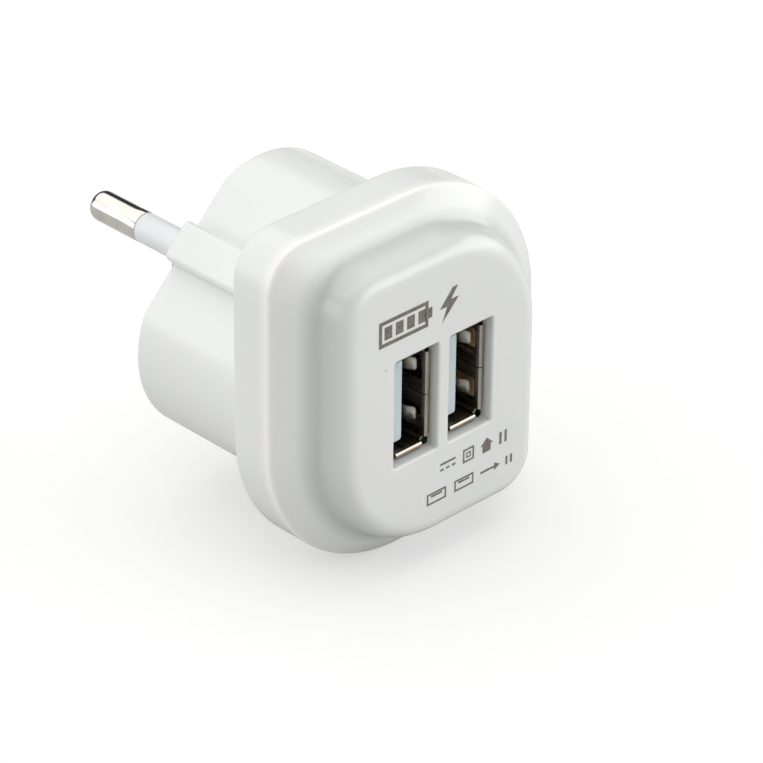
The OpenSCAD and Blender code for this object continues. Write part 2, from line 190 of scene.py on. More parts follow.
def leaf(half_w, half_h, tight, broad):
    """The face's outline: broad upper right and lower left, tight at the other two."""
    return four_corners(half_w, half_h, (broad, tight, broad, tight), (32, 16, 32, 16), 8)


def small_box(half_w, half_h, radius, centre):
    """Outline of a port opening."""
    return four_corners(half_w, half_h, (radius,) * 4, (6,) * 4, 4, centre)


def circle(radius, centre, steps=48):
    return arc(centre[0], centre[1], radius, 0, 360, steps)[:-1]


def turned(points):
    """From the plug's long axis and pin line to x and z."""
    return [((t - n) * ROOT_HALF, (t + n) * ROOT_HALF) for t, n in points]


def pin_centre(sign):
    """Centre of the pin at one end of the pin line."""
    return turned([(0, sign * PIN_OFFSET)])[0]


def plug_outline(sizes, inset):
    """Outline of the plug body with its two ribs, moved in by inset."""
    half = sizes.flat_half / MILLI - inset
    radius = sizes.end_radius / MILLI - inset
    centre = sizes.end_centre / MILLI
    rib = sizes.rib_half / MILLI - inset
    top = sizes.rib_out / MILLI - inset
    edge = max(sizes.rib_round / MILLI - inset, 0.15)
    foot = 0.45 + inset
    crease = 0.3
    last = math.degrees(math.asin(half / radius) - crease / radius)
    quarter = arc(centre, 0, radius, 0, last, 20)
    corner = centre + math.sqrt(radius**2 - half**2)
    flat = (corner - crease, half)
    quarter.append(flat)
    quarter += between(flat, (rib + foot, half), 6)
    quarter += arc(rib + foot, half + foot, foot, 270, 180, 5)
    quarter += between(quarter[-1], (rib, top - edge), 3)
    quarter += arc(rib - edge, top - edge, edge, 0, 90, 8)
    quarter += between(quarter[-1], (0, top), 2) + [(0, top)]
    upper = quarter + [(-t, n) for t, n in reversed(quarter[:-1])]
    lower = [(-t, -n) for t, n in upper]
    return turned(upper[:-1] + lower[:-1])


# Mesh building


def ring(points, y):
    return [(x, y, z) for x, z in points]


def loft(bm, rings):
    """Joins rings of equal count with quads and returns their vertices."""
    rows = [[bm.verts.new(p) for p in r] for r in rings]
    for a, b in zip(rows, rows[1:]):
        for i, v in enumerate(a):
            j = (i + 1) % len(a)
            bm.faces.new((v, a[j], b[j], b[i]))
    return rows


def bridge(bm, a, b):
    """Joins two vertex rings of equal count."""
    for i, v in enumerate(a):
        j = (i + 1) % len(a)
        bm.faces.new((v, a[j], b[j], b[i]))


def flat_fill(bm, rows, normal):
    """Fills the flat region between vertex rings."""
    edges = []
    for row in rows:
        for i, v in enumerate(row):
            w = row[(i + 1) % len(row)]
            edges.append(bm.edges.get((v, w)) or bm.edges.new((v, w)))
    bmesh.ops.triangle_fill(bm, use_beauty=True, edges=edges, normal=normal)


def quarter_turn(radius, steps):
    """Pairs (in, along) of an edge rounding, from (radius, 0) to (0, radius)."""
    pairs = []
    for i in range(steps + 1):
        a = math.pi / 2 * i / steps
        pairs.append((radius * (1 - math.sin(a)), radius * (1 - math.cos(a))))
    return pairs


def smooth_curve(points, steps):
    """A Catmull-Rom curve through the points."""
    path = [points[0]] + list(points) + [points[-1]]
    curve = []
    for k in range(1, len(path) - 2):
        p0, p1, p2, p3 = (Vector(p) for p in path[k - 1 : k + 3])
        for i in range(steps):
            t = i / steps
            square, cube = 2 * p0 - 5 * p1 + 4 * p2 - p3, 3 * p1 - p0 - 3 * p2 + p3
            curve.append(0.5 * (2 * p1 + (p2 - p0) * t + square * t**2 + cube * t**3))
    return [tuple(p) for p in curve] + [tuple(points[-1])]


def into_object(name, bm, materials, sharp=38):
    """Turns a bmesh in millimetres into an object in metres."""
    bmesh.ops.recalc_face_normals(bm, faces=bm.faces)
    bmesh.ops.scale(bm, vec=(MILLI,) * 3, verts=bm.verts)
    mesh = bpy.data.meshes.new(name)
    bm.to_mesh(mesh)
    bm.free()
    for material in materials:
        mesh.materials.append(material)
    mesh.shade_smooth()
    mesh.set_sharp_from_angle(angle=math.radians(sharp))
    piece = bpy.data.objects.new(name, mesh)
    bpy.context.scene.collection.objects.link(piece)
    return piece


def stand_for(piece, body, nodes):
    """Says what a finished piece rides on and which CAD nodes it hides."""
    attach(piece, body)
    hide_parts(*nodes)


def lathe(bm, profile, centre, steps=64):
    """Turns a profile of (y, radius) about a line along Y, with closed ends."""
    rings = [ring(circle(max(r, 1e-4), centre, steps), y) for y, r in profile]
    rows = loft(bm, rings)
    bm.faces.new(rows[0])
    bm.faces.new(rows[-1])
    return rows


# Materials


class Tree:
    """A short hand for the node tree of a material or the world."""

    def __init__(self, owner):
        owner.use_nodes = True
        self.tree = owner.node_tree
        self.tree.nodes.clear()

    def add(self, kind, **settings):
        node = self.tree.nodes.new("ShaderNode" + kind)
        for key, value in settings.items():
            setattr(node, key, value)
        return node

    def link(self, a, b):
        self.tree.links.new(a, b)

    def maths(self, operation, a, b):
        node = self.add("Math", operation=operation)
        for socket, value in zip(node.inputs, (a, b)):
            if isinstance(value, (int, float)):
                socket.default_value = value
            else:
                self.link(value, socket)
        return node.outputs[0]


class Nodes(Tree):
    """One material's shader and the textures that feed it."""

    def __init__(self, name):
        self.material = bpy.data.materials.new(name)
        super().__init__(self.material)
        self.output = self.add("OutputMaterial")
        self.shader = self.add("BsdfPrincipled")
        self.link(self.shader.outputs["BSDF"], self.output.inputs["Surface"])
        self.place = self.add("TexCoord").outputs["Object"]

    def set(self, **values):
        """Sets shader sockets; an underscore stands for a space."""
        for key, value in values.items():
            self.shader.inputs[key.replace("_", " ")].default_value = value

    def stretched(self, scale, turn=(0, 0, 0)):
        """Object coordinates, turned and scaled."""
        mapping = self.add("Mapping")
        mapping.inputs["Rotation"].default_value = turn
        mapping.inputs["Scale"].default_value = scale
        self.link(self.place, mapping.inputs["Vector"])
        return mapping.outputs["Vector"]

    def noise(self, per_metre, detail=3, rough=0.5, vector=None):
        node = self.add("TexNoise")
        node.inputs["Scale"].default_value = per_metre
        node.inputs["Detail"].default_value = detail
        node.inputs["Roughness"].default_value = rough
        self.link(vector or self.place, node.inputs["Vector"])
        return node.outputs["Fac"]

    def spots(self, per_metre, size, share):
        """1 on small round spots in some of the cells, 0 elsewhere."""
        node = self.add("TexVoronoi")
        node.inputs["Scale"].default_value = per_metre
        self.link(self.place, node.inputs["Vector"])
        near = self.spread(node.outputs["Distance"], 1, 0, size * 0.6, size)
        tone = self.add("SeparateColor")
        self.link(node.outputs["Color"], tone.inputs["Color"])
        chosen = self.spread(tone.outputs["Red"], 0, 1, 1 - share, 1 - share + 0.01)
        return self.maths("MULTIPLY", near, chosen)

    def spread(self, value, low, high, start=0.3, end=0.7):
        node = self.add("MapRange")
        ends = {"From Min": start, "From Max": end, "To Min": low, "To Max": high}
        for key, number in ends.items():
            node.inputs[key].default_value = number
        self.link(value, node.inputs["Value"])
        return node.outputs["Result"]

    def tones(self, share, first, second):
        """Mixes two colours, or a colour into an earlier mix."""
        node = self.add("Mix", data_type="RGBA")
        self.link(share, node.inputs[0])
        for socket, value in ((node.inputs[6], first), (node.inputs[7], second)):
            if isinstance(value, bpy.types.NodeSocket):
                self.link(value, socket)
            else:
                socket.default_value = (*value[:3], 1)
        return node.outputs[2]

    def paint(self, socket, name="Base Color"):
        self.link(socket, self.shader.inputs[name])

    def bumps(self, *heights):
        """Chains bump nodes from pairs of a height and its size in metres."""
        last = None
        for height, size in heights:
            node = self.add("Bump")
            node.inputs["Distance"].default_value = size
            node.inputs["Strength"].default_value = 1
            self.link(height, node.inputs["Height"])
            if last:
                self.link(last, node.inputs["Normal"])
            last = node.outputs["Normal"]
        self.link(last, self.shader.inputs["Normal"])


def tinted(rgb, factor):
    return tuple(min(1, c * factor) for c in rgb)


# Painted highlight on the flange's thin edge, standing in for the light that comes through it
PAINTED_EDGE_HIGHLIGHT = (0.95, 0.93, 0.91)
# Painted shade in the hollow around the raised panel, where the step keeps light out
PAINTED_STEP_SHADE = (0.56, 0.585, 0.565)
STEP_MIDDLE, STEP_REACH = 5.1, 2.2
# Share of the painted edge highlight on each ring, from the last one of the side wall inwards
EDGE_HIGHLIGHT_SHARES = (0.3, 0.6, 0.85, 1.0, 1.0, 1.0, 0.85, 0.65, 0.45, 0.25, 0.1)


def moulded_plastic(name, rgb, shade, gloss=(0.16, 0.26), grain=1e-6, specks_and_painted_light=True):
    """Injection-moulded plastic: faint flow marks, fine grain, and where asked a few dark specks, a
    painted highlight on the thin edge and painted shade in the hollow.
    """
    n = Nodes(name)
    base = n.tones(n.spread(n.noise(45, 2), 0, 1), rgb, shade)
    if specks_and_painted_light:
        base = n.tones(n.spots(230, 0.035, 0.3), base, (0.30, 0.29, 0.27))
        # Painted highlight on the flange's thin edge
        edge = n.add("Attribute", attribute_name="painted_edge_highlight").outputs["Fac"]
        base = n.tones(edge, base, PAINTED_EDGE_HIGHLIGHT)
        # Painted shade in the hollow around the raised panel
        hollow = n.add("Attribute", attribute_name="step").outputs["Fac"]
        base = n.tones(hollow, base, PAINTED_STEP_SHADE)
    n.paint(base)
    n.paint(n.spread(n.noise(260, 3), *gloss), "Roughness")
    n.bumps((n.noise(120, 1), 1.5e-5), (n.noise(2400, 2), grain))
    n.set(
        IOR=1.5,
        Subsurface_Weight=0.1,
        Subsurface_Radius=(1.0, 0.78, 0.62),
        Subsurface_Scale=0.0011,
    )
    return n.material


def plated_metal(name, rgb, gloss, scratch_scale, scratch=2.5e-6):
    """Plated metal with fine handling scratches along one direction."""
    n = Nodes(name)
    lines = n.noise(1, 4, 0.6, n.stretched(scratch_scale))
    clouds = n.noise(420, 4)
    n.paint(n.tones(n.spread(clouds, 0, 1), rgb, tinted(rgb, 0.8)))
    n.paint(n.spread(lines, *gloss), "Roughness")
    n.bumps((lines, scratch), (n.noise(900, 2), 4e-6))
    n.set(Metallic=1.0, IOR=2.2)
    return n.material


def plain_part(name, rgb, second, per_metre, gloss, bump, metallic=0.0, spots=None):
    """A finish with two tones, uneven gloss and a light surface texture."""
    n = Nodes(name)
    base = n.tones(n.spread(n.noise(per_metre, 5, 0.6), 0, 1, 0.35, 0.65), rgb, second)
    if spots:
        base = n.tones(n.spots(*spots[:3]), base, spots[3])
    n.paint(base)
    n.paint(n.spread(n.noise(per_metre * 0.7, 3), *gloss), "Roughness")
    n.bumps((n.noise(per_metre * 2.5, 4), bump))
    n.set(Metallic=metallic)
    return n.material


def banded_part(name, rgb, groove, scale, turn, per_metre, gloss, depth, metallic=0.0):
    """Bands side by side, as on wound wire or tape."""
    n = Nodes(name)
    wave = n.add("TexWave", wave_type="BANDS", bands_direction="Y", wave_profile="SIN")
    wave.inputs["Scale"].default_value = per_metre
    wave.inputs["Distortion"].default_value = 0.4
    n.link(n.stretched(scale, turn), wave.inputs["Vector"])
    bands = wave.outputs["Fac"]
    n.paint(n.tones(n.spread(bands, 1, 0, 0.05, 0.5), rgb, groove))
    n.paint(n.spread(n.noise(800, 3), *gloss), "Roughness")
    n.bumps((bands, depth), (n.noise(2600, 2), 4e-6))
    n.set(Metallic=metallic)
    return n.material


def board_material():
    """Circuit board: green mask over copper tracks."""
    n = Nodes("board_green")
    tracks = n.add("TexVoronoi", feature="DISTANCE_TO_EDGE", distance="CHEBYCHEV")
    tracks.inputs["Scale"].default_value = 520
    n.link(n.place, tracks.inputs["Vector"])
    line = n.spread(tracks.outputs["Distance"], 1, 0, 0.05, 0.09)
    n.paint(n.tones(line, (0.02, 0.14, 0.05), (0.05, 0.27, 0.09)))
    n.paint(n.spread(n.noise(700, 3), 0.22, 0.38), "Roughness")
    n.bumps((line, 2e-5), (n.noise(3000, 2), 3e-6))
    n.set(IOR=1.55)
    return n.material


# Pieces


def face_profile():
    """Inward and forward steps of the domed face, from the flange's edge to the panel."""
    rim = [(0, 0), (0.04, 0.26), (0.17, 0.5), (0.42, 0.7)]
    dome = [(0.85, 0.98), (1.5, 1.38), (2.3, 1.84), (3.1, 2.27), (3.9, 2.7)]
    fillet = [(4.45, 3.02), (4.9, 3.4), (5.22, 3.88), (5.42, 4.45)]
    wall = [(5.58, 5.05), (5.78, 5.65), (6.12, 6.25), (6.62, 6.8)]
    panel = [(7.25, 7.18), (7.85, 7.35), (8.4, 7.38)]
    return smooth_curve(rim + dome + fillet + wall + panel, 3)


def blend_leaf(sizes, inward):
    """Outline of the face at a step inward from the flange's edge."""
    half_w, half_h = COVER_HIGH.x, COVER_HIGH.z
    panel_w, panel_h = sizes.panel_width / MILLI / 2, sizes.panel_height / MILLI / 2
    reach = half_w - panel_w
    k = min(inward / reach, 1)
    more = max(inward - reach, 0)
    tight = sizes.flange_tight + (sizes.panel_tight - sizes.flange_tight) * k
    broad = sizes.flange_broad + (sizes.panel_broad - sizes.flange_broad) * k
    return leaf(
        half_w + (panel_w - half_w) * k - more,
        half_h + (panel_h - half_h) * k - more,
        tight / MILLI - more,
        broad / MILLI - more,
    )


def flange_leaf(sizes, inset):
    """Outline of the flange, moved in by inset."""
    tight, broad = sizes.flange_tight / MILLI, sizes.flange_broad / MILLI
    return leaf(COVER_HIGH.x - inset, COVER_HIGH.z - inset, tight - inset, broad - inset)


def port_rings(sizes, centre, face_y, back_y):
    """Rings from the face around a port's mouth, over its rounding and down its wall."""
    half_w, half_h = sizes.port_width / MILLI / 2, sizes.port_height / MILLI / 2
    fillet, corner = sizes.port_fillet / MILLI, 0.3
    rings = [(0.12 + fillet, 0)] + quarter_turn(fillet, 6)
    made = [
        ring(small_box(half_w + out, half_h + out, corner + out, centre), face_y + deep)
        for out, deep in rings
    ]
    for deep in (0.5, 0.85, 0.98, 1.0):
        y = face_y + fillet + (back_y - face_y - fillet) * deep
        made.append(ring(small_box(half_w, half_h, corner, centre), y))
    return made


def build_front_cover(sizes, material):
    wall = sizes.cover_wall / MILLI
    edge_y = FLANGE_REAR - sizes.flange_depth / MILLI
    face_y = COVER_LOW.y + FACE_GAP
    back_y = COVER_LOW.y + PANEL_THICKNESS
    inner = blend_leaf(sizes, COVER_HIGH.x - sizes.panel_width / MILLI / 2 + wall)
    rounding, bands = 0.42, 8
    side_rise = edge_y - FLANGE_REAR + rounding

    steps = [(wall, edge_y + 0.3), (wall, edge_y + 0.45)]
    steps += [(wall, FLANGE_REAR - 0.3), (wall, FLANGE_REAR - 0.15)]
    steps += [(inset, FLANGE_REAR) for inset in (wall - 0.15, wall - 0.3, 0.55)]
    steps += [(i, FLANGE_REAR - d) for i, d in quarter_turn(rounding, 6)]
    steps += [(0, FLANGE_REAR - rounding + side_rise * k / bands) for k in range(1, bands)]
    rings = [ring(inner, y) for y in (back_y, back_y + 0.1, edge_y + 0.4, edge_y + 0.3)]
    rings += [ring(flange_leaf(sizes, inset), y) for inset, y in steps]
    first = len(rings)
    profile = face_profile()
    rings += [ring(blend_leaf(sizes, inward), edge_y - forward) for inward, forward in profile]

    bm = bmesh.new()
    for key in ("painted_edge_highlight", "step"):
        bm.verts.layers.float.new(key)
    thin, step = (bm.verts.layers.float[key] for key in ("painted_edge_highlight", "step"))
    rows = loft(bm, rings)
    # Painted highlight on the rim rings
    for row, share in zip(rows[first - 1 :], EDGE_HIGHLIGHT_SHARES):
        for v in row:
            v[thin] = share
    # Painted shade, strongest in the middle of the hollow
    for row, (inward, _) in zip(rows[first:], profile):
        for v in row:
            v[step] = max(0, 1 - abs(inward - STEP_MIDDLE) / STEP_REACH)
    mouths = [loft(bm, port_rings(sizes, socket_centre(side), face_y, back_y)) for side in SIDES]
    flat_fill(bm, [rows[-1]] + [m[0] for m in mouths], (0, -1, 0))
    flat_fill(bm, [rows[0]] + [m[-1] for m in mouths], (0, 1, 0))
    return into_object("front_cover_shell", bm, [material])


def build_rear_body(sizes, material):
    plate = sizes.cover_wall / MILLI + 0.05
    bm = bmesh.new()
    depths = (-REAR_WALL, -REAR_WALL - 0.2, -12, PLATE_FRONT)
    inside = loft(bm, [ring(plug_outline(sizes, CAVITY_INSET), y) for y in depths])
    steps = [(plate, PLATE_FRONT), (plate, PLATE_FRONT + 0.2), (plate, FLANGE_REAR - 0.4)]
    steps += [(plate, FLANGE_REAR - 0.2), (plate + 0.18, FLANGE_REAR), (plate + 0.4, FLANGE_REAR)]
    leaf_rows = loft(bm, [ring(flange_leaf(sizes, inset), y) for inset, y in steps])

    steps = [(-0.4, FLANGE_REAR)]
    steps += [(-i, FLANGE_REAR + d) for i, d in quarter_turn(0.3, 4)]
    steps += [(0, FLANGE_REAR - FLANGE_REAR * k) for k in (0.05, 0.2, 0.4, 0.6, 0.8, 0.95)]
    steps += [(i, -d) for i, d in reversed(quarter_turn(0.45, 6))] + [(0.6, 0)]
    outer_rows = loft(bm, [ring(plug_outline(sizes, inset), y) for inset, y in steps])
    flat_fill(bm, [inside[-1], leaf_rows[0]], (0, -1, 0))
    flat_fill(bm, [leaf_rows[-1], outer_rows[0]], (0, 1, 0))

    bore = sizes.pin_radius / MILLI + 0.03
    profile = [(bore + 0.35, 0), (bore + 0.22, 0), (bore, -0.2), (bore, -0.4)]
    profile += [(bore, 0.1 - BOSS_DEPTH), (bore, -BOSS_DEPTH)]
    profile += [(BOSS_RADIUS, -BOSS_DEPTH), (BOSS_RADIUS, -REAR_WALL)]
    pins = [loft(bm, [ring(circle(r, pin_centre(k)), y) for r, y in profile]) for k in (1, -1)]
    flat_fill(bm, [outer_rows[-1]] + [rows[0] for rows in pins], (0, 1, 0))
    flat_fill(bm, [inside[0]] + [rows[-1] for rows in pins], (0, -1, 0))
    return into_object("rear_body_shell", bm, [material])


def pin_end_profile(sizes, tip):
    """Profile of a pin: core in its sleeve, bare shank, domed end."""
    radius, bare, nose = sizes.pin_radius / MILLI, sizes.sleeve_length / MILLI + 0.06, 1.55
    roundness, nose_steps = 2.6, 14
    profile = [(-8, 0.8), (-8, 1.3), (-7.8, 1.48), (bare - 0.06, 1.48), (bare, PIN_CORE)]
    profile += [(bare, 1.86), (bare + 0.05, 1.95), (bare + 0.16, radius - 0.004)]
    profile += [(bare + (tip - nose - bare) * k / 5, radius) for k in range(1, 5)]
    for k in range(nose_steps + 1):
        share = math.sin(math.pi / 2 * k / nose_steps)
        across = radius * (1 - share**roundness) ** (1 / roundness)
        profile.append((tip - nose + nose * share, across))
    return profile


def sleeve_profile(sizes):
    """Profile of a pin's sleeve, from inside the boss to its rounded outer end."""
    end, outer = sizes.sleeve_length / MILLI, sizes.pin_radius / MILLI - 0.03
    profile = [(-6, PIN_CORE), (-6, outer - 0.1), (-5.9, outer)]
    profile += [(y, outer) for y in (-3, 0.5, 3, 6, end - 0.4)]
    profile += [(end - 0.12, outer - 0.01), (end - 0.03, outer - 0.06), (end, outer - 0.14)]
    return profile + [(end, PIN_CORE + 0.1), (end, PIN_CORE)]


def build_pins(sizes, nickel, plastic):
    """Each pin and sleeve with the CAD node it replaces and that node's slot."""
    pieces = []
    for letter, sign in (("a", 1), ("b", -1)):
        pin, sleeve = "pin_" + letter, "pin_sleeve_" + letter
        centre = pin_centre(sign)
        bm = bmesh.new()
        lathe(bm, pin_end_profile(sizes, node_box(pin)[1].y), centre)
        pieces.append((into_object(pin + "_metal", bm, [nickel]), pin, "pin_nickel"))
        bm = bmesh.new()
        rows = loft(bm, [ring(circle(r, centre, 64), y) for y, r in sleeve_profile(sizes)])
        bridge(bm, rows[-1], rows[0])
        pieces.append((into_object(sleeve + "_skin", bm, [plastic]), sleeve, "sleeve_plastic"))
    return pieces


def shell_columns(half_w, half_h, radius):
    """Columns around a socket's sheet from one side of its seam to the other.

    Each is (x, z, out_x, out_z, wall), where wall is None in a corner.
    """
    straight_w, straight_h = half_w - radius, half_h - radius
    seam_gap, window_edges = 0.07, (0.9, 1.75, 2.05, 4.85, 5.15)
    half = [(half_w, z, 1, 0, "side") for z in (seam_gap, *window_edges, straight_h)]
    for x, z in arc(straight_w, straight_h, radius, 0, 90, 6)[1:-1]:
        half.append((x, z, 0, 0, None))
    half += [(straight_w * (1 - 2 * k / 4), half_h, 0, 1, "top") for k in range(5)]
    for x, z in arc(-straight_w, straight_h, radius, 90, 180, 6)[1:-1]:
        half.append((x, z, 0, 0, None))
    half += [(-half_w, straight_h * (1 - k / 2), -1, 0, "far") for k in range(3)]
    lower = [(x, -z, ox, -oz, wall) for x, z, ox, oz, wall in reversed(half[:-1])]
    return half + lower


def shell_sheet(half_w, half_h, cx, cz, front):
    """A socket's sheet without thickness: flared lips, a seam, two rounded spring windows."""
    columns = shell_columns(half_w, half_h, SHELL_CORNER)
    lips = ((0.36, 0.02), (0.2, 0.03), (0.07, 0.12), (0.01, 0.28))
    rows_y = [front + deep for deep in (0.45, 0.6, 0.9, 3, 5.5, 8.6, 9.1, 9.4, 12)]
    rows_y.append(BOARD_FRONT - 0.02)
    window_heights = ((1.75, 2.05), (2.05, 4.85), (4.85, 5.15))
    lip_rows = len(lips)
    window_first, window_last = lip_rows + 1, lip_rows + 6
    bm = bmesh.new()
    grid = []
    for x, z, ox, oz, wall in columns:
        column = [None] * lip_rows
        if wall:
            column = [
                bm.verts.new((cx + x + ox * out, front + deep, cz + z + oz * out))
                for out, deep in lips
            ]
        grid.append(column + [bm.verts.new((cx + x, y, cz + z)) for y in rows_y])
    for i, (a, b) in enumerate(zip(grid, grid[1:])):
        wall = columns[i][4]
        same_wall = wall and wall == columns[i + 1][4]
        heights = [abs(columns[k][1]) for k in (i, i + 1)]
        low, high = sorted(heights)
        in_window = same_wall and wall == "side" and any(
            abs(low - start) < 0.01 and abs(high - end) < 0.01 for start, end in window_heights
        )
        corner_cell = in_window and high - low < 0.5
        for j in range(len(a) - 1):
            if j < lip_rows and not (same_wall and a[j] and b[j]):
                continue
            quad = [a[j], b[j], b[j + 1], a[j + 1]]
            if in_window and window_first <= j <= window_last:
                if not (corner_cell and j in (window_first, window_last)):
                    continue
                kept_row = j if j == window_first else j + 1
                kept = a if (heights[0] < heights[1]) == (low < 2) else b
                cut = (b if kept is a else a)[j + 1 if kept_row == j else j]
                quad = [v for v in quad if v is not cut]
            bm.faces.new(quad)
    bmesh.ops.delete(bm, geom=[v for v in bm.verts if not v.link_faces], context="VERTS")
    return bm


def build_shell(sizes, side, tin, shaded_tin, glow_tan):
    """A socket's folded sheet; where a tan finish is given, carrier strips behind its springs paint
    the warm glow of light leaking through the housing.
    """
    cx, cz = socket_centre(side)
    half_sheet = sizes.sheet / MILLI / 2
    front = node_box("usb_shell_" + side)[0].y + 0.05
    half_w, half_h = SHELL_HALF_WIDTH - half_sheet, SHELL_HALF_HEIGHT - half_sheet
    bm = shell_sheet(half_w, half_h, cx, cz, front)
    shell = into_object("socket_shell_" + side, bm, [tin, shaded_tin], sharp=30)
    thick = shell.modifiers.new("sheet", "SOLIDIFY")
    thick.thickness = sizes.sheet
    thick.offset = 0
    thick.use_even_offset = True
    thick.material_offset = 0
    bake_modifiers(shell)
    paint_inside(shell, cx, cz)
    if glow_tan:
        shell.data.materials.append(glow_tan)
        extra = bmesh.new()
        extra.from_mesh(shell.data)
        bmesh.ops.scale(extra, vec=(1 / MILLI,) * 3, verts=extra.verts)
        for level in (1, -1):
            add_carrier(extra, cx + 3.6, cz + level * SPRING_OFFSET, front + CARRIER_MIDDLE)
        bmesh.ops.scale(extra, vec=(MILLI,) * 3, verts=extra.verts)
        extra.to_mesh(shell.data)
        extra.free()
    shell.data.set_sharp_from_angle(angle=math.radians(30))
    return shell


def add_carrier(bm, x, z, middle):
    """A carrier strip behind a spring's window, pressed to a shallow dish; its tan paints the warm
    glow of light leaking through the housing.
    """
    half_l, half_w = CARRIER_HALF_LENGTH, CARRIER_HALF_WIDTH
    outline = four_corners(half_l, half_w, (0.4,) * 4, (4,) * 4, 2, (middle, z))
    rings = []
    for inset, out in ((0.0, 0.12), (0.0, 0.0), (0.25, 0.0), (0.5, 0.07)):
        along, across = 1 - inset / half_l, 1 - inset / half_w
        shrunk = [(middle + (y - middle) * along, z + (w - z) * across) for y, w in outline]
        rings.append([(x + out, y, w) for y, w in shrunk])
    before = set(bm.faces)
    rows = loft(bm, rings)
    bm.faces.new(rows[0])
    bm.faces.new(rows[-1])
    fresh = [f for f in bm.faces if f not in before]
    bmesh.ops.recalc_face_normals(bm, faces=fresh)
    for face in fresh:
        face.material_index = 2
        face.smooth = True


def bake_modifiers(piece):
    """Replaces a piece's mesh with what its modifiers make of it."""
    graph = bpy.context.evaluated_depsgraph_get()
    baked = bpy.data.meshes.new_from_object(piece.evaluated_get(graph))
    piece.modifiers.clear()
    piece.data = baked


def paint_inside(shell, cx, cz):
    """Gives faces that look into a socket the darker copy of the steel, painted shade inside the
    socket.
    """
    for polygon in shell.data.polygons:
        middle = polygon.center / MILLI
        towards = Vector((cx - middle.x, 0, cz - middle.z))
        inward = polygon.normal.x * towards.x + polygon.normal.z * towards.z
        side_on = abs(polygon.normal.y) > 0.55
        if inward > 0 and not side_on:
            polygon.material_index = 1


TONGUE_MIDDLE = -1.02
TONGUE_HALF_WIDTH, TONGUE_HALF_HEIGHT = 0.92, 5.55


def tongue_section(groove):
    """Bevelled section of a tongue with four grooves for its contacts."""
    left, right = TONGUE_MIDDLE - TONGUE_HALF_WIDTH, TONGUE_MIDDLE + TONGUE_HALF_WIDTH
    half, cut = TONGUE_HALF_HEIGHT, 0.22
    points = [(left + cut, -half), (right - cut, -half), (right, -half + cut)]
    for z in (-3.5, -1, 1, 3.5):
        points += [(right, z - 0.53), (right - groove, z - 0.52)]
        points += [(right - groove, z + 0.52), (right, z + 0.53)]
    points += [(right, half - cut), (right - cut, half), (left + cut, half)]
    return points + [(left, half - cut), (left, -half + cut)]


def build_tongue(side, plastic):
    cx, cz = socket_centre(side)
    front, block = node_box("usb_insulator_" + side)[0].y, BOARD_FRONT - 3.2

    def section(inset, groove):
        kx, kz = 1 - inset / TONGUE_HALF_WIDTH, 1 - inset / TONGUE_HALF_HEIGHT
        return [
            (cx + TONGUE_MIDDLE + (x - TONGUE_MIDDLE) * kx, cz + z * kz)
            for x, z in tongue_section(groove)
        ]

    bm = bmesh.new()
    plain = ((0.3, front), (0.22, front), (0.06, front + 0.14), (0, front + 0.32), (0, front + 0.7))
    rings = [ring(section(inset, 0), y) for inset, y in plain]
    rings += [ring(section(0, 0.12), y) for y in (front + 0.85, front + 5, block)]
    rows = loft(bm, rings)
    bm.faces.new(rows[0])
    edge, full = (2.4, 6.1, 0.3), (2.54, 6.23, 0.4)
    steps = ((edge, 0), (full, 0.15), (full, 3.0), (edge, 3.18))
    base = loft(bm, [ring(small_box(*sizes, (cx, cz)), block + deep) for sizes, deep in steps])
    flat_fill(bm, [rows[-1], base[0]], (0, -1, 0))
    bm.faces.new(base[-1])
    return into_object("socket_tongue_" + side, bm, [plastic], sharp=30)


def ribbon(bm, stations, thickness):
    """A strip along (x, y, z, half width) stations, with softened long edges."""
    t, c = thickness / 2, thickness * 0.22
    rings = []
    for i, (x, y, z, half) in enumerate(stations):
        before = stations[max(i - 1, 0)]
        after = stations[min(i + 1, len(stations) - 1)]
        along = Vector((after[0] - before[0], after[1] - before[1])).normalized()
        normal = Vector((-along.y, along.x))
        edge = max(half - c, half * 0.6)
        corners = [(t, edge), (t - c, half), (c - t, half), (-t, edge)]
        corners += [(a, -b) for a, b in reversed(corners)]
        rings.append([(x + normal.x * a, y + normal.y * a, z + b) for a, b in corners])
    rows = loft(bm, rings)
    bm.faces.new(rows[0])
    bm.faces.new(rows[-1])


def build_contact(side, index, gold):
    cx = socket_centre(side)[0]
    low, high = node_box("contact_%s_%d" % (side, index))
    z, front = (low.z + high.z) / 2, low.y
    path = [(-0.16, -0.1), (-0.06, 0.05), (0.03, 0.3), (0.1, 0.9), (0.17, 1.8), (0.19, 2.3)]
    path += [(0.16, 2.8), (0.08, 3.6), (0.02, 4.4), (0.0, 5.5)]
    path = [(x, front + y) for x, y in path] + [(0.0, BOARD_FRONT - 3.0), (0.0, BOARD_FRONT)]
    tip_points = 3
    stations = []
    for i, (x, y) in enumerate(smooth_curve(path, 3)):
        stations.append((cx + x, y, z, 0.36 + 0.05 * i if i < tip_points else 0.5))
    stations += [(cx, BOARD_FRONT + 0.01, z, 0.3), (cx, high.y, z, 0.28)]
    bm = bmesh.new()
    ribbon(bm, stations, 0.18)
    return into_object("contact_%s_%d_strip" % (side, index), bm, [gold], sharp=50)


